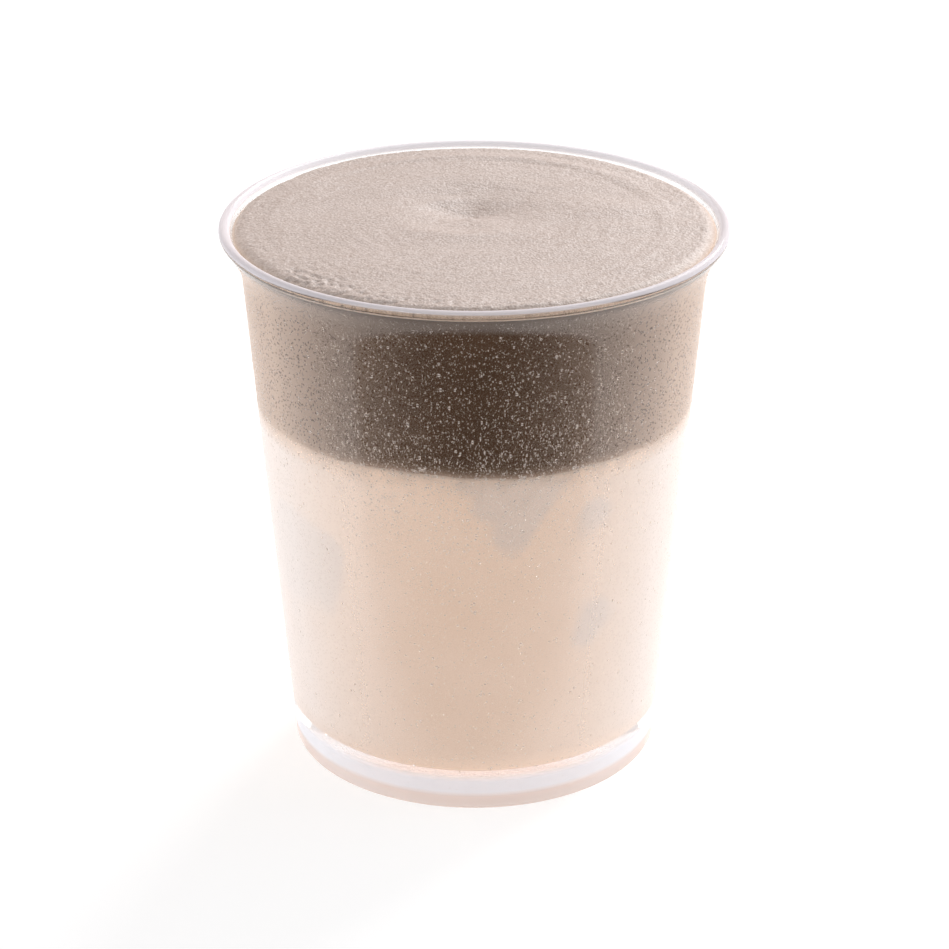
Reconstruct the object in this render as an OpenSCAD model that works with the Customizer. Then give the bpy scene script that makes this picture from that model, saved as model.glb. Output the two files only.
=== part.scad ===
// Iced latte in a flared glass tumbler. The glass has a thick clear base, a tapered wall and
// a lip that leans out to a rounded bead. Milk fills it from the base up, and a deep coffee
// foam lies on the milk and is levelled off just under the lip.

/* [Glass] */
// Height of the glass from the table to the top of its lip
glass_h = 100; // [88:1:130]
// Outside diameter of the lip, the widest place
lip_d = 90; // [75:1:110]
// Outside diameter of the foot, where the wall would meet the table
foot_d = 66.6; // [50:0.1:76]
// How far the lip stands out past the top of the straight wall
flare_w = 4; // [2:0.5:7]
// Height of the flared band under the lip
flare_h = 10; // [7:0.5:16]
// Lean of the lip away from upright, in degrees
lip_angle = 35; // [15:1:50]
// Thickness of the wall, square to its face
wall_t = 2.2; // [1.6:0.1:3]
// Thickness of the lip's rounded bead
lip_t = 1.8; // [1.4:0.1:2.6]
// Thickness of the clear base
base_t = 6.5; // [3:0.5:14]
// Radius of the outer edge of the foot
heel_r = 1.2; // [0.5:0.1:4]
// Radius of the inner corner, where the wall runs into the base
well_r = 5; // [2:0.5:9]

/* [Milk] */
// Height of the milk's top above the table
milk_top = 66.8; // [40:0.1:84]
// How much higher the milk stands at the front than at the back, each way from the middle
milk_tilt = 0.8; // [0:0.1:2]
// Height of the slow waves round the edge of the milk
milk_wave = 0.35; // [0:0.05:1]

/* [Foam] */
// Height of the lip above the middle of the foam
crown_gap = 0.3; // [0:0.1:6]
// Drop from the level foam down to where it meets the glass
edge_drop = 1.3; // [0.4:0.1:2.5]
// Width of the rounded edge of the foam
edge_w = 3; // [1:0.5:6]
// Radius of the low ring left by the edge of the spoon
ring_r = 34; // [20:1:36]
// Height of that ring
ring_h = 0.25; // [0:0.05:0.6]
// Width of that ring
ring_w = 1.6; // [0.8:0.1:4]

/* [Swirl] */
// Place of the hollow's middle, to the right of the glass's axis
swirl_x = -1; // [-10:0.5:10]
// Place of the hollow's middle, behind the glass's axis
swirl_y = 8; // [-10:0.5:12]
// Radius of the hollow
swirl_r = 8.5; // [4:0.5:12]
// Depth of the hollow
swirl_depth = 1.3; // [0:0.1:3]
// Height of the curl of foam round the hollow
curl_h = 0.45; // [0:0.05:1.5]
// Width of that curl
curl_w = 3; // [1:0.5:5]
// Direction in which the curl is highest, in degrees round from the right
curl_dir = 235; // [0:5:355]

/* [Hidden] */
$fn = 144;
arc_steps = 8;      // straight steps in each rounded corner
flare_steps = 12;   // straight steps in the flare's curve
sectors = 72;       // steps round the foam's and the milk's uneven faces
level_rings = 12;   // rings across the level part of the foam
edge_rings = 5;     // rings across its rounded edge
edge_reach = 1.4;   // how far those rings run, past where the foam meets the glass
milk_rings = 3;     // rings across the milk's top
flare_pull = 0.4;   // reach of the flare curve's handles, as a share of its chord

foot_r = foot_d / 2;
neck_r = lip_d / 2 - flare_w;
neck_z = glass_h - flare_h;
lean = atan((neck_r - foot_r) / neck_z);
bead_r = lip_t / 2;
bead_mid = [lip_d / 2 - bead_r, glass_h - bead_r];

// Direction of a line that leans out from upright by the angle a, and the outward normal to it
function along(a) = [sin(a), cos(a)];
function outward(a) = [cos(a), -sin(a)];

// Points of an arc about the middle c
function arc(c, r, from, to, steps) =
    [for (i = [0:steps]) let (a = from + (to - from) * i / steps) c + r * [cos(a), sin(a)]];

// Middle of a corner radius r between a floor at z and the wall's face set in by the depth d
function corner_mid(z, r, d) =
    [foot_r + ((z + r) * sin(lean) - d - r) / cos(lean), z + r];

// The flare's outer face is a cubic curve from the straight wall to the bead
flare_from = [neck_r, neck_z];
flare_to = bead_mid + bead_r * outward(lip_angle);
flare_reach = flare_pull * norm(flare_to - flare_from);
flare_handles = [
    flare_from,
    flare_from + flare_reach * along(lean),
    flare_to - flare_reach * along(lip_angle),
    flare_to
];
function flare_point(t) =
    pow(1 - t, 3) * flare_handles[0] + 3 * pow(1 - t, 2) * t * flare_handles[1]
    + 3 * (1 - t) * t * t * flare_handles[2] + pow(t, 3) * flare_handles[3];
function flare_heading(t) =
    pow(1 - t, 2) * (flare_handles[1] - flare_handles[0])
    + 2 * (1 - t) * t * (flare_handles[2] - flare_handles[1])
    + t * t * (flare_handles[3] - flare_handles[2]);
function flare_outward(t) = let (h = flare_heading(t)) [h.y, -h.x] / norm(h);
flare_ts = [for (i = [0:flare_steps]) i / flare_steps];

// Outer face from the table up to the bead, and inner face from the base up to the bead
outer_face = concat(
    arc(corner_mid(0, heel_r, 0), heel_r, -90, -lean, arc_steps),
    [for (t = flare_ts) flare_point(t)]
);
inner_face = concat(
    arc(corner_mid(base_t, well_r, wall_t), well_r, -90, -lean, arc_steps),
    [for (t = flare_ts) flare_point(t) - (wall_t + (lip_t - wall_t) * t) * flare_outward(t)]
);
bead = arc(bead_mid, bead_r, -lip_angle, 180 - lip_angle, 2 * arc_steps);

// Inner radius of the glass at the height z, in the tapered part and the flare
function inner_r(z) = lookup(z, [for (p = inner_face) [p.y, p.x]]);

crown_z = glass_h - crown_gap;
edge_r = inner_r(crown_z - edge_drop);

function reversed(v) = [for (i = [len(v) - 1:-1:0]) v[i]];
function bump(d, w) = exp(-pow(d / w, 2));

// Height of the milk's top, level in the middle and uneven at the glass
milk_surface = function (x, y)
    let (a = atan2(y, x), rise = pow(min(norm([x, y]) / edge_r, 1), 2))
    milk_top + rise * (milk_wave * (cos(3 * a + 40) + cos(7 * a)) - milk_tilt * sin(a));

// Height of the foam's top: a level crown with its ring and swirl, rounded off at the glass
foam_surface = function (x, y)
    let (
        r = norm([x, y]),
        off = [x - swirl_x, y - swirl_y],
        curl = (1 + cos(atan2(off.y, off.x) - curl_dir)) / 2,
        edge = max(0, (r - edge_r + edge_w) / edge_w)
    )
    crown_z - edge_drop * edge * edge + ring_h * bump(r - ring_r, ring_w)
    - swirl_depth * bump(norm(off), swirl_r)
    + curl_h * curl * bump(norm(off) - swirl_r - curl_w, curl_w);
flat_floor = function (x, y) base_t / 2;

level_radii = [for (i = [1:level_rings]) (edge_r - edge_w) * i / level_rings];
edge_radii = [for (i = [1:edge_rings]) edge_r - edge_w + edge_w * edge_reach * i / edge_rings];
foam_radii = concat(level_radii, edge_radii);
rim_r = edge_radii[edge_rings - 1];
milk_radii = [for (i = [1:milk_rings]) rim_r * i / milk_rings];

function ring(r, height) =
    [for (i = [0:sectors - 1]) let (a = (i + 0.5) * 360 / sectors, x = r * cos(a), y = r * sin(a))
        [x, y, height(x, y)]];

// A round block between two uneven faces. Its rings run out over the lower face and back in
// over the upper one, and a single point closes each face in the middle. Each four-sided
// patch is split the same way on both faces, so two blocks that share a face meet exactly.
module block(low_radii, low_height, top_radii, top_height) {
    rings = concat(
        [for (r = low_radii) ring(r, low_height)],
        [for (r = reversed(top_radii)) ring(r, top_height)]
    );
    points = concat(
        [[0, 0, low_height(0, 0)]],
        [for (one = rings) each one],
        [[0, 0, top_height(0, 0)]]
    );
    last = len(points) - 1;
    function at(k, i) = 1 + k * sectors + i % sectors;
    faces = concat(
        [for (i = [0:sectors - 1]) [0, at(0, i), at(0, i + 1)]],
        [for (k = [0:len(rings) - 2], i = [0:sectors - 1]) each
            k < len(low_radii)
            ? [[at(k, i), at(k + 1, i), at(k + 1, i + 1)], [at(k, i), at(k + 1, i + 1), at(k, i + 1)]]
            : [[at(k, i), at(k + 1, i), at(k, i + 1)], [at(k + 1, i), at(k + 1, i + 1), at(k, i + 1)]]
        ],
        [for (i = [0:sectors - 1]) [at(len(rings) - 1, i), last, at(len(rings) - 1, i + 1)]]
    );
    polyhedron(points, faces);
}

// The space inside the glass, up to the level of its lip
module cavity() {
    top = inner_face[len(inner_face) - 1];
    rotate_extrude()
        polygon(concat([[0, base_t]], inner_face, [[top.x, glass_h], [0, glass_h]]));
}

module glass() {
    color("lightcyan", 0.4)
        rotate_extrude()
            polygon(concat([[0, 0]], outer_face, bead, reversed(inner_face), [[0, base_t]]));
}

module milk() {
    color("bisque")
        intersection() {
            cavity();
            block(milk_radii, flat_floor, milk_radii, milk_surface);
        }
}

module foam() {
    color("rosybrown")
        intersection() {
            cavity();
            block(milk_radii, milk_surface, foam_radii, foam_surface);
        }
}

glass();
milk();
foam();
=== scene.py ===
"""Latte in a flared glass tumbler: pale iced milk under a deep band of coffee foam."""

import math
import random

import bmesh
import bpy
import numpy as np
from mathutils import Euler, Matrix, Vector, noise
from mathutils.bvhtree import BVHTree
from mathutils.geometry import interpolate_bezier


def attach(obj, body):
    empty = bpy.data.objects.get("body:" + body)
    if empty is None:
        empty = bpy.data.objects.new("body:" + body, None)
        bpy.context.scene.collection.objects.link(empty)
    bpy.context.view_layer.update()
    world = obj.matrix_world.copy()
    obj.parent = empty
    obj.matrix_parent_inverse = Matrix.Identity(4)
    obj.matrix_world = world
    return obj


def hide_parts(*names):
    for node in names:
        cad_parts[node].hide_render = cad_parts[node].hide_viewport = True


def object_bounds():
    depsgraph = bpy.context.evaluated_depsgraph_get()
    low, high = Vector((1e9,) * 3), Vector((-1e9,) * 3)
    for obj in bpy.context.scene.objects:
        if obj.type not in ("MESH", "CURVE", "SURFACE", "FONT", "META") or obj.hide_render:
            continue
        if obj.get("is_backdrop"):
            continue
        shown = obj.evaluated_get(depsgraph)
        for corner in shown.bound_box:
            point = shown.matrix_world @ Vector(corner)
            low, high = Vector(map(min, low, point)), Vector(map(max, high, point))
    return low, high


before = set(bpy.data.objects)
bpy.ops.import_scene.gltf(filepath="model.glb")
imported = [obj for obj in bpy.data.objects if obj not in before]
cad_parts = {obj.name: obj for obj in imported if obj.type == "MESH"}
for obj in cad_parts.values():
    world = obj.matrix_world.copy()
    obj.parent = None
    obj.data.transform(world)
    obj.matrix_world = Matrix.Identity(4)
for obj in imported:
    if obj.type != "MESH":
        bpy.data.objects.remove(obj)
cad_low, cad_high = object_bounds()
MM = 0.001  # the sizes below are in millimetres, and the scene is in metres

# ---------------------------------------------------------------- the glass
# A pressed soda-lime tumbler: a thick clear base, a wall that widens upwards, and a lip that
# leans out to a rounded bead. It is one outline turned about the upright axis.
glass_high = cad_high[2] / MM
lip_r = cad_high[0] / MM
foot_r = 33.3
neck_r = lip_r - 4.0
neck_z = glass_high - 10.0
wall_t = 2.2
lip_t = 1.8
lip_lean = math.radians(35)
base_t = 6.5
heel_r = 1.2
well_r = 5.0
glass_steps = 288

wall_lean = math.atan2(neck_r - foot_r, neck_z)
bead_r = lip_t / 2
bead_mid = Vector((lip_r - bead_r, glass_high - bead_r))


def upward(lean):
    """Up along a face that leans outward by an angle, in the outline's plane."""
    return Vector((math.sin(lean), math.cos(lean)))


def outward(lean):
    """Straight out of a face that leans outward by an angle."""
    return Vector((math.cos(lean), -math.sin(lean)))


def arc(mid, radius, start, end, steps):
    """Points of an arc in the outline's plane, with its angles in radians from the outward side."""
    turns = [start + (end - start) * i / steps for i in range(steps + 1)]
    return [mid + radius * Vector((math.cos(a), math.sin(a))) for a in turns]


def corner(z, radius, inset, steps=12):
    """The rounded corner between a level floor at z and the wall's face moved in by inset."""
    side = foot_r + ((z + radius) * math.sin(wall_lean) - inset - radius) / math.cos(wall_lean)
    return arc(Vector((side, z + radius)), radius, -math.pi / 2, -wall_lean, steps)


def flare(inset_low, inset_high, steps=28):
    """The flare's face, from the straight wall to the bead, moved in by the two insets."""
    low = Vector((neck_r, neck_z)) - inset_low * outward(wall_lean)
    high = bead_mid + (bead_r - inset_high) * outward(lip_lean)
    pull = 0.4 * (high - low).length
    ends = low + pull * upward(wall_lean), high - pull * upward(lip_lean)
    return interpolate_bezier(low.to_3d(), ends[0].to_3d(), ends[1].to_3d(), high.to_3d(), steps)


def wall(low, high, steps):
    """The points between two of the outline's points, both left out."""
    low, high = low.to_2d(), high.to_2d()
    return [low.lerp(high, i / steps) for i in range(1, steps)]


def inside_radius(z):
    """Radius of the glass's inner face at the height z, on the straight part of the wall."""
    return foot_r + z * math.tan(wall_lean) - wall_t / math.cos(wall_lean)


def turned(outline, steps, wedges=12):
    """A closed body of revolution from an outline of (radius, height) in millimetres."""
    bm = bmesh.new()
    points = [bm.verts.new((p[0], 0, p[1])) for p in outline]
    edges = [bm.edges.new(pair) for pair in zip(points, points[1:])]
    about = {"axis": (0, 0, 1), "cent": (0, 0, 0), "dvec": (0, 0, 0)}
    part = math.tau / wedges
    bmesh.ops.spin(bm, geom=points + edges, angle=part, steps=steps // wedges, **about)
    wedge = bm.verts[:] + bm.edges[:] + bm.faces[:]
    bmesh.ops.spin(bm, geom=wedge, angle=math.tau - part, steps=wedges - 1, use_duplicate=True, **about)
    bmesh.ops.remove_doubles(bm, verts=bm.verts, dist=1e-4)
    bmesh.ops.recalc_face_normals(bm, faces=bm.faces)
    return bm


def piece(name, bm, materials):
    """Makes the finished object from a bmesh in millimetres, and hangs it on the one body."""
    bmesh.ops.scale(bm, vec=(MM, MM, MM), verts=bm.verts)
    mesh = bpy.data.meshes.new(name)
    bm.to_mesh(mesh)
    bm.free()
    mesh.polygons.foreach_set("use_smooth", [True] * len(mesh.polygons))
    for material in materials:
        mesh.materials.append(material)
    obj = bpy.data.objects.new(name, mesh)
    bpy.context.scene.collection.objects.link(obj)
    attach(obj, "root")
    return obj


def new_material(name):
    """A material with its nodes, its Principled shader and a helper that adds and links a node."""
    material = bpy.data.materials.new(name)
    material.use_nodes = True
    tree = material.node_tree
    shader = tree.nodes["Principled BSDF"]

    def add(kind, settings=None, **links):
        node = tree.nodes.new("ShaderNode" + kind)
        for key, value in (settings or {}).items():
            if hasattr(node, key):
                setattr(node, key, value)
            else:
                node.inputs[key].default_value = value
        for key, source in links.items():
            tree.links.new(source, node.inputs[key.replace("_", " ")])
        return node

    return material, tree, shader, add


def let_light_in(tree, add, clear):
    """Light reaches what is behind the clear shader straight, and only the eye sees it bend."""
    path = add("LightPath")
    open_way = add("BsdfTransparent")
    by_lamp, by_bounce = add("MixShader"), add("MixShader")
    tree.links.new(path.outputs["Is Shadow Ray"], by_lamp.inputs[0])
    tree.links.new(clear, by_lamp.inputs[1])
    tree.links.new(open_way.outputs[0], by_lamp.inputs[2])
    tree.links.new(path.outputs["Is Diffuse Ray"], by_bounce.inputs[0])
    tree.links.new(by_lamp.outputs[0], by_bounce.inputs[1])
    tree.links.new(open_way.outputs[0], by_bounce.inputs[2])
    tree.links.new(by_bounce.outputs[0], tree.nodes["Material Output"].inputs["Surface"])


def glassy(name, colour, ior):
    """A clear glass or water material."""
    material, tree, shader, add = new_material(name)
    shader.inputs["Base Color"].default_value = colour
    shader.inputs["Transmission Weight"].default_value = 1.0
    shader.inputs["IOR"].default_value = ior
    shader.inputs["Roughness"].default_value = 0.0
    return material, tree, shader, add


clear_glass, tree, shader, add = glassy("clear_glass", (0.985, 0.99, 1.0, 1), 1.5)
let_light_in(tree, add, shader.outputs[0])

def product(add, tree, first, second):
    """A Math node that multiplies two outputs."""
    node = add("Math", {"operation": "MULTIPLY"})
    tree.links.new(first, node.inputs[0])
    tree.links.new(second, node.inputs[1])
    return node.outputs[0]


def blended(add, tree, share, first, second):
    """A Mix node between two colours; each is an output or a plain colour."""
    node = add("Mix", {"data_type": "RGBA"})
    for number, source in ((0, share), (6, first), (7, second)):
        if isinstance(source, (tuple, float)):
            node.inputs[number].default_value = source
        else:
            tree.links.new(source, node.inputs[number])
    return node.outputs[2]


def mapped(add, source, start, end, at_start, at_end):
    """A value that goes from at_start to at_end as the source goes from start to end."""
    reach = {"From Min": start, "From Max": end, "To Min": at_start, "To Max": at_end}
    return add("MapRange", reach, Value=source).outputs["Result"]


def larger(add, tree, first, second):
    """A Math node that gives the larger of two outputs."""
    node = add("Math", {"operation": "MAXIMUM"})
    tree.links.new(first, node.inputs[0])
    tree.links.new(second, node.inputs[1])
    return node.outputs[0]


def matte_film(add, tree, share, tint):
    """The clear shader partly hidden by a matte film of a tint."""
    film = add("BsdfPrincipled", {"Roughness": 1.0, "Specular IOR Level": 0.0}, Base_Color=tint)
    hidden = add("MixShader")
    tree.links.new(share, hidden.inputs[0])
    tree.links.new(tree.nodes["Principled BSDF"].outputs[0], hidden.inputs[1])
    tree.links.new(film.outputs[0], hidden.inputs[2])
    return hidden.outputs[0]


# The outer face is fogged by the cold: a film of droplets too fine to see one by one, thicker to the
# eye where the wall turns away, with clear spots where droplets have run together. The lip has a pale
# lilac frost that is partly frost and partly a painted highlight of the lip's bright rim.
misted_glass, tree, shader, add = glassy("misted_glass", (0.985, 0.99, 1.0, 1), 1.5)
coords = add("TexCoord").outputs["Object"]
level = add("VectorMath", {"operation": "MULTIPLY"})
tree.links.new(coords, level.inputs[0])
level.inputs[1].default_value = (1, 1, 0)
upright = add("VectorMath", {"operation": "NORMALIZE"}, Vector=level.outputs[0])
facing = add("LayerWeight", {"Blend": 0.5}, Normal=upright.outputs[0]).outputs["Facing"]
aslant = mapped(add, facing, 0.06, 0.58, 0.0, 0.62)
spots = add("TexVoronoi", {"Scale": 1700.0}, Vector=coords).outputs["Distance"]
patchy = mapped(add, spots, 0.2, 0.34, 0.05, 1.1)
spread = add("Attribute", {"attribute_name": "mist"}).outputs["Fac"]
frost = add("Attribute", {"attribute_name": "frost"}).outputs["Fac"]
over_milk = add("Attribute", {"attribute_name": "over_milk"}).outputs["Fac"]
even = larger(add, tree, patchy, product(add, tree, over_milk, over_milk))
fog_share = product(add, tree, product(add, tree, aslant, even), spread)

# The foot has a painted reflection of the milk above it: a painted peach glow in a low band all round it,
# with a painted paler band over that.
# Object coordinates are in metres.
height = add("SeparateXYZ", Vector=coords).outputs["Z"]
painted_milk_glow = mapped(add, height, 0.0028, 0.0038, 0.78, 0.0)
painted_pale_band = mapped(add, height, 0.006, 0.0078, 0.72, 0.0)
at_foot = mapped(add, height, 0.007, 0.009, 1.0, 0.0)
wall_tint = blended(add, tree, over_milk, (0.74, 0.575, 0.475, 1), (0.86, 0.81, 0.79, 1))
# Painted reflection colours: pale lilac over the foot, peach of the milk in its lowest band.
painted_foot_tint = blended(add, tree, painted_milk_glow, (0.87, 0.89, 0.95, 1), (0.80, 0.62, 0.53, 1))
tint = blended(add, tree, at_foot, wall_tint, painted_foot_tint)
# The lip's pale lilac tint: partly frost, partly a painted highlight of the bright rim.
tint = blended(add, tree, frost, tint, (0.82, 0.81, 0.88, 1))
fog_share = larger(add, tree, larger(add, tree, fog_share, frost), larger(add, tree, painted_milk_glow, painted_pale_band))
let_light_in(tree, add, matte_film(add, tree, fog_share, tint))

outer_heel = corner(0, heel_r, 0, steps=6)
inner_well = corner(base_t, well_r, wall_t)
outer_flare = flare(0, 0)
inner_flare = flare(wall_t, lip_t)
bead = arc(bead_mid, bead_r, -lip_lean, math.pi - lip_lean, 16)
outline = [
    Vector((0, 0)), *outer_heel, *wall(outer_heel[-1], outer_flare[0], 24), *outer_flare[:-1],
    *bead, *reversed(inner_flare[:-1]), *wall(inner_flare[0], inner_well[-1], 24),
    *reversed(inner_well), Vector((0, base_t)),
]
bm = turned(outline, glass_steps)
mist_from, mist_to = 4.0, glass_high - 1.5
lip_from = glass_high - 0.9
foam_over = 68.0  # above this the wall's fog hides foam and no longer milk
face_slack = 0.5
frost_and_highlight_most = 0.8
frost_and_highlight_slope, frost_and_highlight_lower = 0.3, 0.9  # the frost and its painted highlight lie on what faces up, and lower at the left and right
mist_at = bm.verts.layers.float.new("mist")
frost_and_highlight_at = bm.verts.layers.float.new("frost")
over_at = bm.verts.layers.float.new("over_milk")
bm.normal_update()
for v in bm.verts:
    v[mist_at] = max(0.0, min(1.0, (v.co.z - mist_from) / 6, (mist_to - v.co.z) / 2))
    lower = frost_and_highlight_lower * (v.co.x / lip_r) ** 4
    frosted_and_highlit = max(0.0, min(1.0, (v.normal.z - frost_and_highlight_slope + lower) / 0.25))
    v[frost_and_highlight_at] = frost_and_highlight_most * frosted_and_highlit if v.co.z > lip_from else 0.0
    v[over_at] = max(0.0, min(1.0, (foam_over - v.co.z) / 3))
for f in bm.faces:
    middle = f.calc_center_median()
    outside = math.hypot(middle.x, middle.y) > foot_r + middle.z * math.tan(wall_lean) - face_slack
    misted = outside and 0.2 < middle.z
    f.material_index = 1 if misted or middle.z > lip_from else 0
glass = piece("glass_tumbler", bm, [clear_glass, misted_glass])
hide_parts("glass")

# ---------------------------------------------------------------- the ice
# Cubes of clear ice that float in the milk under the foam. Their corners are melted round, and
# where one leans on the glass it has melted to the glass's curve.
ice_gap = 0.25
ice_uneven, ice_lump = 0.5, 7.0
ice_pieces = [  # side, how round, and where the middle is: turn about the axis, radius, height; tilt
    (19, 3.5, (-58, 26.2, 44.5), (16, 4, 8)),
    (20, 3.0, (-66, 19.5, 27.0), (8, -5, 44)),
    (24, 3.0, (10, 23.8, 63.5), (116.6, 24.1, -39.2)),
    (22, 3.0, (33, 20.0, 55.0), (40, 12, 38)),
    (22, 3.0, (34, 19.3, 36.0), (42, 0, 43)),
    (21, 3.5, (-30, 18.6, 29.0), (12, 20, 30)),
    (23, 3.5, (150, 19.0, 52.0), (20, 15, 12)),
    (22, 3.5, (205, 19.5, 30.0), (35, 8, 40)),
    (20, 3.5, (95, 18.5, 36.0), (15, 30, 20)),
]


def melted(side, round_r, place, tilt):
    """One cube with its rounded corners, turned about its middle, set in the milk and fitted."""
    bm = bmesh.new()
    bmesh.ops.create_cube(bm, size=side)
    bmesh.ops.bevel(
        bm, geom=bm.verts[:] + bm.edges[:], offset=round_r, offset_type="OFFSET", segments=4,
        profile=0.5, affect="EDGES", clamp_overlap=True, material=-1,
    )
    bmesh.ops.subdivide_edges(bm, edges=bm.edges, cuts=3, use_grid_fill=True)
    azimuth = math.radians(place[0])
    middle = Vector((place[1] * math.sin(azimuth), -place[1] * math.cos(azimuth), place[2]))
    turn = Matrix.Rotation(azimuth, 4, "Z") @ Euler([math.radians(a) for a in tilt]).to_matrix().to_4x4()
    bmesh.ops.transform(bm, matrix=Matrix.Translation(middle) @ turn, verts=bm.verts)
    for v in bm.verts:
        v.co += ice_uneven * noise.noise_vector(v.co / ice_lump)
        reach = math.hypot(v.co.x, v.co.y)
        most = inside_radius(v.co.z) - ice_gap
        if reach > most:
            v.co.x, v.co.y = v.co.x * most / reach, v.co.y * most / reach
    return bm


ice_material, tree, shader, add = new_material("melting_ice")
shader.inputs["Base Color"].default_value = (0.95, 0.97, 1.0, 1)
shader.inputs["Transmission Weight"].default_value = 1.0
shader.inputs["IOR"].default_value = 1.31
shader.inputs["Roughness"].default_value = 0.08
ice_trees = []
for number, cube in enumerate(ice_pieces):
    bm = melted(*cube)
    ice_trees.append(BVHTree.FromBMesh(bm))
    piece(f"ice_cube_{number + 1}", bm, [ice_material])

# ---------------------------------------------------------------- the milk
# Cold milk that fills the glass from its base up to the foam. It is thick enough to hide the
# ice, except where a cube leans on the glass and shows as a cooler, greyer patch.
milk_top = 66.8
milk_tilt = 0.8
milk_wave = 0.35
edge_r = 42.6
into_wall = 0.2
film = 0.04  # a clear gap under the milk, because light that meets it nearly edge on is mirrored
milk_steps = 360
cool_reach, cool_full, cool_fade = 2.0, 0.55, 0.9  # how near the ice the milk looks cooler
stain_deep, stain_lump, stain_least = 1.5, 2.5, 0.4  # how far down the coffee stains the milk


def milk_height(x, y):
    """The milk's top: level in the middle, and uneven where it meets the glass."""
    a = math.atan2(y, x)
    rise = min(math.hypot(x, y) / edge_r, 1) ** 2
    slow = math.cos(3 * a + math.radians(40)) + math.cos(7 * a)
    ragged = 0.7 * noise.noise((x / 4, y / 4, 2.0)) + 0.35 * noise.noise((x / 1.1, y / 1.1, 6.0))
    return milk_top + rise * (milk_wave * slow - milk_tilt * math.sin(a)) + rise**4 * ragged


def stand_in_wall(v, z):
    """Moves a vertex to the height z, just inside the glass of the wall."""
    reach = inside_radius(z) + into_wall
    size = math.hypot(v.co.x, v.co.y)
    v.co = v.co.x * reach / size, v.co.y * reach / size, z


well = corner(base_t + film, well_r, wall_t - into_wall)
side_top = Vector((inside_radius(milk_top) + into_wall, milk_top))
top_rings = 12
rings = [side_top.lerp(Vector((0, milk_top)), i / top_rings) for i in range(1, top_rings + 1)]
outline = [Vector((0, base_t + film)), *well, *wall(well[-1], side_top, 90), side_top, *rings]
bm = turned(outline, milk_steps)
wall_foot = well[-1].y
near_enough = 1e-3
for v in bm.verts:
    size = math.hypot(v.co.x, v.co.y)
    if abs(v.co.z - milk_top) < near_enough and size < side_top.x - 0.1:
        v.co.z = milk_height(v.co.x, v.co.y)
    elif v.co.z > wall_foot + near_enough:
        share = (v.co.z - wall_foot) / (milk_top - wall_foot)
        stand_in_wall(v, wall_foot + share * (milk_height(v.co.x, v.co.y) - wall_foot))
cool = bm.verts.layers.float.new("cool")
stain = bm.verts.layers.float.new("stain")
for v in bm.verts:
    near = []
    if v.co.z < milk_top - 0.5:
        near = [tree.find_nearest(v.co, cool_reach)[3] for tree in ice_trees]
    away = min([d for d in near if d is not None], default=cool_reach)
    v[cool] = max(0.0, 1 - max(0.0, away - cool_full) / cool_fade)
    reach = stain_deep * (1 + 1.3 * noise.noise(v.co / stain_lump))
    below = max(0.0, milk_height(v.co.x, v.co.y) - v.co.z)
    v[stain] = math.exp(-below / max(reach, stain_least))

milk_material, tree, shader, add = new_material("cold_milk")
coords = add("TexCoord").outputs["Object"]
drift = add("TexNoise", {"Scale": 60.0, "Detail": 3.0, "Roughness": 0.5}, Vector=coords)
body = add("ValToRGB", Fac=drift.outputs["Fac"])
body.color_ramp.elements[0].position, body.color_ramp.elements[0].color = 0.3, (0.85, 0.615, 0.465, 1)
body.color_ramp.elements[1].position, body.color_ramp.elements[1].color = 0.7, (0.88, 0.65, 0.505, 1)
cool_at = add("Attribute", {"attribute_name": "cool"}).outputs["Fac"]
stain_at = add("Attribute", {"attribute_name": "stain"}).outputs["Fac"]
cooled = blended(add, tree, cool_at, body.outputs["Color"], (0.755, 0.59, 0.49, 1))
stained = blended(add, tree, stain_at, cooled, (0.55, 0.42, 0.34, 1))
tree.links.new(stained, shader.inputs["Base Color"])
shader.inputs["Specular IOR Level"].default_value = 0.0
milk = piece("milk_body", bm, [milk_material])
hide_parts("milk")

# ---------------------------------------------------------------- the coffee foam
# Whipped coffee foam laid on the milk and levelled with a spoon: a flat crown with a small
# swirled hollow, a faint ring near its edge, and a rounded edge of coarser bubbles.
crown_z = glass_high - 0.4
edge_drop = 1.2
edge_w = 2.2
edge_z = crown_z - edge_drop
ring_r, ring_h, ring_w = 35.0, 0.3, 1.5
dish_at = Vector((-0.8, 6.0))
dish_r, dish_deep = 10.0, 1.6
curl_r, curl_h, curl_w = 13.0, 0.3, 3.2
tail_h, tail_w = 0.22, 1.6
ridge_at, ridge_h = Vector((25.0, 7.0)), 0.30
dent_at, dent_deep = Vector((-27.0, 4.0)), 0.2
pits_wide, pit_deep = 9.0, 0.45  # the band of coarse pits inside the edge
pale_deep, rim_w = 0.8, 0.5  # where milk and glass show through the foam
ring_gap, fine_rings, coarse_rings = 0.32, 33, 60
foam_steps = 552


def bump(d, w):
    """A smooth hump: 1 at no distance, and nearly 0 at two widths."""
    return math.exp(-((d / w) ** 2))


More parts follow.
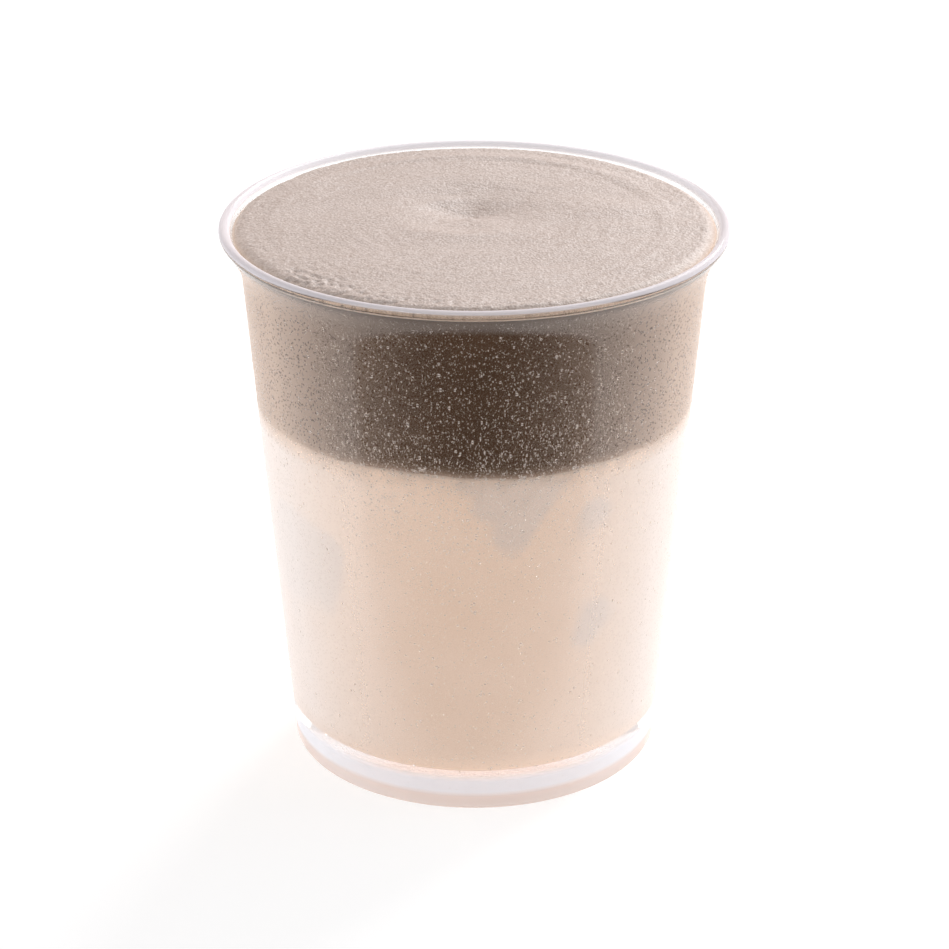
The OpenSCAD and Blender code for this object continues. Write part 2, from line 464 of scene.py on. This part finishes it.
def foam_height(x, y):
    """The foam's top at a place on it, in millimetres."""
    r, a = math.hypot(x, y), math.atan2(y, x)
    z = crown_z - edge_drop * max(0.0, (r - edge_r + edge_w) / edge_w) ** 2
    z += ring_h * (0.5 + 0.5 * math.sin(a)) ** 2 * bump(r - ring_r - 0.8 * math.cos(a - 2.2), ring_w)
    off = Vector((x, y)) - dish_at
    turn = math.atan2(off.y, off.x)
    shape = off.length + 1.4 * noise.noise((x / 6, y / 6, 3.0)) + 0.8 * math.cos(turn + 0.6)
    z -= dish_deep * bump(shape, dish_r) * (1 + 0.35 * math.sin(turn))
    z += curl_h * (0.5 - 0.5 * math.sin(turn + 0.3)) ** 2 * bump(shape - curl_r, curl_w)
    z += tail_h * bump(off.length - 9 - 1.5 * (turn - 2), tail_w) * bump(turn - 2.2, 0.7)
    z += ridge_h * bump(math.hypot((x - ridge_at.x) / 9, (y - ridge_at.y) / 4), 1.0)
    z -= dent_deep * bump(math.hypot(x - dent_at.x, y - dent_at.y), 6)
    z += 0.18 * noise.noise((x / 14 + 7, y / 6, 0.5)) + 0.07 * noise.noise((r / 1.3, 2.5 * a, 4.0))
    z += 0.05 * noise.noise((x / 1.6, y / 1.1, 1.5))
    if r > edge_r - pits_wide:
        coarse_side = 0.4 + 1.4 * bump((a + 2.5) % math.tau if a < -2.5 else a + 2.5, 0.75)
        near = min(1.0, (r - edge_r + pits_wide) / 6) * coarse_side
        z -= pit_deep * near * max(0.0, 0.2 + noise.noise((x / 1.0, y / 1.0, 8.0))) ** 1.3
    return min(z, glass_high - 0.02)


inner_lip = flare(wall_t - into_wall, lip_t - into_wall)
foam_wall = [p.to_2d() for p in inner_lip if p.y < edge_z]
contact = Vector((edge_r, edge_z))
fine = [contact.x - ring_gap * i for i in range(1, fine_rings + 1)]
coarse = [fine[-1] * (1 - i / coarse_rings) for i in range(1, coarse_rings + 1)]
crown = [Vector((r, crown_z)) for r in fine + coarse]
under = [Vector((side_top.x * i / top_rings, milk_top)) for i in range(top_rings + 1)]
outline = [*under, *wall(side_top, foam_wall[0], 26), *foam_wall, contact, *crown]
bm = turned(outline, foam_steps)
for f in bm.faces:
    f.material_index = 1 if f.calc_center_median().z > edge_z else 0
for v in bm.verts:
    size = math.hypot(v.co.x, v.co.y)
    if v.co.z > crown_z - near_enough:
        v.co.z = foam_height(v.co.x, v.co.y)
    elif v.co.z < milk_top + near_enough and size < side_top.x - 0.1:
        v.co.z = milk_height(v.co.x, v.co.y)
    elif v.co.z < neck_z - near_enough:
        share = (v.co.z - milk_top) / (neck_z - milk_top)
        low = milk_height(v.co.x, v.co.y)
        stand_in_wall(v, low + share * (neck_z - low))
paler = bm.verts.layers.float.new("paler")
rim = bm.verts.layers.float.new("rim")
for v in bm.verts:
    v[paler] = math.exp(-max(0.0, v.co.z - milk_height(v.co.x, v.co.y)) / pale_deep)
    v[rim] = math.exp(-max(0.0, edge_r - math.hypot(v.co.x, v.co.y)) / rim_w)

# The foam's side is coloured far darker than its crown: partly wet foam against the glass, partly painted
# shade.
foam_side_painted_shade, tree, shader, add = new_material("wet_foam_painted_shade")
coords = add("TexCoord").outputs["Object"]
drift = add("TexNoise", {"Scale": 90.0, "Detail": 4.0, "Roughness": 0.6}, Vector=coords)
side = add("ValToRGB", Fac=drift.outputs["Fac"])
side.color_ramp.elements[0].position, side.color_ramp.elements[0].color = 0.3, (0.051, 0.0275, 0.0155, 1)
side.color_ramp.elements[1].position, side.color_ramp.elements[1].color = 0.7, (0.070, 0.039, 0.0225, 1)
paler_at = add("Attribute", {"attribute_name": "paler"}).outputs["Fac"]
edge = blended(add, tree, paler_at, side.outputs["Color"], (0.30, 0.21, 0.155, 1))
tree.links.new(edge, shader.inputs["Base Color"])
shader.inputs["Specular IOR Level"].default_value = 0.0

# The crown is coloured far paler than the side: partly its own paler top, partly painted light and sheen
# from above.
foam_top_painted_light, tree, shader, add = new_material("foam_crust_painted_light")
coords = add("TexCoord").outputs["Object"]
drift = add("TexNoise", {"Scale": 90.0, "Detail": 4.0, "Roughness": 0.6}, Vector=coords)
top = add("ValToRGB", Fac=drift.outputs["Fac"])
top.color_ramp.elements[0].position, top.color_ramp.elements[0].color = 0.3, (0.437, 0.366, 0.333, 1)
top.color_ramp.elements[1].position, top.color_ramp.elements[1].color = 0.7, (0.50, 0.43, 0.40, 1)
grain = add("TexNoise", {"Scale": 1900.0, "Detail": 2.0, "Roughness": 0.7}, Vector=coords)
grainy = add("ValToRGB", Fac=grain.outputs["Fac"])
grainy.color_ramp.elements[0].position, grainy.color_ramp.elements[0].color = 0.35, (0.27, 0.19, 0.15, 1)
grainy.color_ramp.elements[1].position, grainy.color_ramp.elements[1].color = 0.68, (0.69, 0.625, 0.60, 1)
speckled = blended(add, tree, 0.45, top.outputs["Color"], grainy.outputs["Color"])
rim_at = add("Attribute", {"attribute_name": "rim"}).outputs["Fac"]
rimmed = blended(add, tree, rim_at, speckled, (0.60, 0.42, 0.30, 1))
tree.links.new(rimmed, shader.inputs["Base Color"])
bubbles = add("TexVoronoi", {"Scale": 2300.0}, Vector=coords)
lumps = add("Math", {"operation": "ADD"})
tree.links.new(bubbles.outputs["Distance"], lumps.inputs[0])
tree.links.new(grain.outputs["Fac"], lumps.inputs[1])
relief = add("Bump", {"Strength": 0.42, "Distance": 0.0002}, Height=lumps.outputs[0])
tree.links.new(relief.outputs["Normal"], shader.inputs["Normal"])
shader.inputs["Roughness"].default_value = 0.5
foam = piece("coffee_foam", bm, [foam_side_painted_shade, foam_top_painted_light])
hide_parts("foam")

# ---------------------------------------------------------------- the water beads
# Condensation on the cold glass: thousands of tiny beads of clear water, thickest round the
# bottom of the foam and the top of the milk, and a few that have run together.
random.seed(11)
water_material, tree, shader, add = glassy("water_beads", (0.97, 0.985, 1.0, 1), 1.33)
# Each bead has a painted pale glint on its upper side and a painted faint shade on its lower side.
rise_z = add("SeparateXYZ", Vector=add("NewGeometry").outputs["Normal"]).outputs["Z"]
painted_glint_share = mapped(add, rise_z, 0.28, 0.42, 0.0, 0.55)
under = mapped(add, rise_z, -0.3, -0.55, 0.0, 0.15)
painted_glint_and_shade_tint = blended(add, tree, under, (0.95, 0.81, 0.70, 1), (0.2, 0.14, 0.1, 1))
let_light_in(tree, add, matte_film(add, tree, larger(add, tree, painted_glint_share, under), painted_glint_and_shade_tint))
bead_sink = 0.02

outer_face = [outer_heel[-1], *outer_flare[:-3]]
face_z, face_r = [p[1] for p in outer_face], [p[0] for p in outer_face]
bead_top = face_z[-1]


def on_wall(z):
    """Radius and lean of the glass's outer face at the height z."""
    radius = float(np.interp(z, face_z, face_r))
    return radius, math.atan(float(np.interp(z + 0.2, face_z, face_r)) / 0.2 - radius / 0.2)


def dome(sides):
    """The smallest bead: a low pyramid with a flat back, one millimetre across, facing +X."""
    bm = bmesh.new()
    bmesh.ops.create_cone(bm, cap_ends=True, segments=sides, radius1=0.5, radius2=0, depth=0.5)
    bmesh.ops.rotate(bm, verts=bm.verts, cent=(0, 0, 0), matrix=Matrix.Rotation(math.pi / 2, 3, "Y"))
    bmesh.ops.translate(bm, verts=bm.verts, vec=(0.25, 0, 0))
    return bm


def bead(levels):
    """A bead of water one millimetre across: a low dome with a flat back, facing +X."""
    bm = bmesh.new()
    bmesh.ops.create_icosphere(bm, subdivisions=levels, radius=0.5)
    bmesh.ops.bisect_plane(
        bm, geom=bm.verts[:] + bm.edges[:] + bm.faces[:], plane_co=(0.1, 0, 0), plane_no=(-1, 0, 0),
        clear_outer=True,
    )
    rim = [e for e in bm.edges if e.is_boundary]
    bmesh.ops.contextual_create(bm, geom=rim)
    bmesh.ops.translate(bm, verts=bm.verts, vec=(-0.1, 0, 0))
    return bm


def beads(name, bm, places):
    """Joins one bead for each place: azimuth, height, width, length, proud and turn."""
    bmesh.ops.triangulate(bm, faces=bm.faces)
    bmesh.ops.recalc_face_normals(bm, faces=bm.faces)
    bm.verts.ensure_lookup_table()
    corners = np.array([v.co for v in bm.verts])
    faces = np.array([[v.index for v in f.verts] for f in bm.faces])
    bm.free()
    all_corners = []
    for azimuth, z, width, length, proud, turn in places:
        radius, lean = on_wall(z)
        lie = (
            Matrix.Translation((radius * math.cos(azimuth), radius * math.sin(azimuth), z))
            @ Matrix.Rotation(azimuth, 4, "Z") @ Matrix.Rotation(lean, 4, "Y")
            @ Matrix.Translation((-bead_sink, 0, 0)) @ Matrix.Rotation(turn, 4, "X")
            @ Matrix.Diagonal((proud, width, length, 1))
        )
        m = np.array(lie)
        all_corners.append(corners @ m[:3, :3].T + m[:3, 3])
    joined = np.concatenate(all_corners) * MM
    shifts = np.repeat(np.arange(len(places)) * len(corners), len(faces))[:, None]
    all_faces = np.tile(faces, (len(places), 1)) + shifts
    mesh = bpy.data.meshes.new(name)
    mesh.from_pydata(joined.tolist(), [], all_faces.tolist())
    mesh.polygons.foreach_set("use_smooth", [True] * len(mesh.polygons))
    mesh.materials.append(water_material)
    obj = bpy.data.objects.new(name, mesh)
    bpy.context.scene.collection.objects.link(obj)
    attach(obj, "root")
    return obj


thin_below, thickest = 74.0, 66.0


def thick(z):
    """How thickly the beads stand at the height z, from 0 to 1."""
    return 0.2 + 0.5 * bump(max(0.0, thin_below - z), 26) + 0.3 * bump(z - thickest, 12)


def scattered(count, small, large, low, high, rise):
    """Places for beads, more of them where they stand thick."""
    places = []
    while len(places) < count:
        azimuth, z = random.uniform(0, math.tau), random.uniform(low, high)
        if random.random() > thick(z):
            continue
        width = small + (large - small) * random.random() ** 2
        length = width * random.uniform(1.0, 1.3 + 0.8 * bump(z - 72, 7))
        places.append((azimuth, z, width, length, width * rise, random.uniform(-0.6, 0.6)))
    return places


for number in range(2):
    beads(f"water_beads_finest_{number + 1}", dome(5), scattered(22000, 0.10, 0.22, 3, bead_top, 0.5))
    beads(f"water_beads_fine_{number + 1}", bead(1), scattered(7000, 0.16, 0.34, 3, bead_top, 0.5))
beads("water_beads_large", bead(2), scattered(2400, 0.32, 0.6, 8, bead_top - 3, 0.45))

run_together = []
merged_beads = 170
for _ in range(merged_beads):
    azimuth = random.uniform(0, math.tau)
    edge = milk_height(edge_r * math.cos(azimuth), edge_r * math.sin(azimuth))
    width = random.uniform(0.3, 0.5)
    place = azimuth, edge + random.uniform(-0.7, 0.9), width, width * random.uniform(1.5, 3.2)
    run_together.append((*place, width * 0.5, math.pi / 2 + random.uniform(-0.3, 0.3)))
beads("water_beads_merged", bead(2), run_together)

# ---------------------------------------------------------------- the studio
# A pale floor lit from below like a light table, and a pale surround that is brighter behind the
# glass than in front of it.
floor_gap = 0.0003
bm = bmesh.new()
bmesh.ops.create_circle(bm, cap_ends=True, segments=96, radius=3.0)
bmesh.ops.translate(bm, verts=bm.verts, vec=(0, 0, -floor_gap))
mesh = bpy.data.meshes.new("floor")
bm.to_mesh(mesh)
bm.free()
floor_material, tree, shader, add = new_material("pale_floor")
shader.inputs["Base Color"].default_value = (0.5, 0.5, 0.5, 1)
shader.inputs["Roughness"].default_value = 0.9
shader.inputs["Specular IOR Level"].default_value = 0.0
shader.inputs["Emission Color"].default_value = (0.97, 0.985, 1, 1)
shader.inputs["Emission Strength"].default_value = 0.6
mesh.materials.append(floor_material)
floor = bpy.data.objects.new("floor", mesh)
bpy.context.scene.collection.objects.link(floor)
floor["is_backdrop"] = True

# A dark card in front is seen only in the glass's reflections, as a studio flag is, and
# fades out at its edges.
card_r, card_ahead, card_high = 0.27, 0.31, 0.0002
bm = bmesh.new()
bmesh.ops.create_circle(bm, cap_ends=True, segments=64, radius=card_r)
bmesh.ops.translate(bm, verts=bm.verts, vec=(0, -card_ahead, card_high))
mesh = bpy.data.meshes.new("dark_card")
bm.to_mesh(mesh)
bm.free()
card_material, tree, shader, add = new_material("dark_card")
shader.inputs["Base Color"].default_value = (0.02, 0.02, 0.02, 1)
shader.inputs["Specular IOR Level"].default_value = 0.0
coords = add("TexCoord").outputs["Object"]
middle = add("Mapping", {"Location": (0, card_ahead, 0)}, Vector=coords)
away = add("VectorMath", {"operation": "LENGTH"}, Vector=middle.outputs[0])
fade = mapped(add, away.outputs["Value"], 0.25, 0.268, 1.0, 0.0)
tree.links.new(fade, shader.inputs["Alpha"])
mesh.materials.append(card_material)
card = bpy.data.objects.new("dark_card", mesh)
card.visible_camera = card.visible_diffuse = card.visible_transmission = card.visible_shadow = False
bpy.context.scene.collection.objects.link(card)
card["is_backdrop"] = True

world = bpy.data.worlds.new("pale_surround")
bpy.context.scene.world = world
world.use_nodes = True
sky = world.node_tree
toward = sky.nodes.new("ShaderNodeTexCoord").outputs["Generated"]


def along(direction, low, high, at_low, at_high):
    """A value that goes from at_low to at_high as the view into the surround turns to a direction."""
    dot = sky.nodes.new("ShaderNodeVectorMath")
    dot.operation = "DOT_PRODUCT"
    dot.inputs[1].default_value = direction
    sky.links.new(toward, dot.inputs[0])
    ramp = sky.nodes.new("ShaderNodeMapRange")
    for key, value in (("From Min", low), ("From Max", high), ("To Min", at_low), ("To Max", at_high)):
        ramp.inputs[key].default_value = value
    sky.links.new(dot.outputs["Value"], ramp.inputs["Value"])
    return ramp.outputs["Result"]


surround = sky.nodes["Background"]
sky.links.new(along((0.35, 0.93, 0), 0.1, 0.9, 0.42, 0.9), surround.inputs["Strength"])
backdrop = sky.nodes.new("ShaderNodeMix")
backdrop.data_type = "RGBA"
sky.links.new(along((0, 0.8, 0.6), 0.5, 0.9, 0.0, 1.0), backdrop.inputs[0])
backdrop.inputs[6].default_value = (0.95, 0.97, 1.0, 1)
backdrop.inputs[7].default_value = (1.0, 0.80, 0.69, 1)
sky.links.new(backdrop.outputs[2], surround.inputs["Color"])


def soft_light(name, place, aim_height, side, power):
    """A square flat light, turned to a height above the foot, that the camera doesn't see."""
    data = bpy.data.lights.new(name, "AREA")
    data.size = side
    data.energy = power
    light = bpy.data.objects.new(name, data)
    light.location = place
    sight = Vector((0, 0, aim_height)) - Vector(place)
    light.rotation_euler = sight.to_track_quat("-Z", "Y").to_euler()
    light.visible_camera = False
    bpy.context.scene.collection.objects.link(light)


soft_light("left_light", (-0.34, 0.06, 0.16), 0.06, 0.30, 0.5)
soft_light("right_light", (0.34, 0.06, 0.16), 0.06, 0.30, 0.52)
soft_light("top_light", (0.45, 0.75, 0.75), 0.05, 0.6, 11.0)
soft_light("front_light", (-0.45, -0.75, 0.85), 0.05, 0.16, 1.6)

camera_data = bpy.data.cameras.new("camera")
camera_data.lens = 125.1
camera = bpy.data.objects.new("camera", camera_data)
bpy.context.scene.collection.objects.link(camera)
aim = Vector((0, 0, 0.0509))
elevation = math.radians(24.2)
distance = 0.6
camera.location = aim + distance * Vector((0, -math.cos(elevation), math.sin(elevation)))
camera.rotation_euler = (aim - camera.location).to_track_quat("-Z", "Y").to_euler()
bpy.context.scene.camera = camera
bpy.context.scene.view_settings.view_transform = "Standard"

low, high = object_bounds()
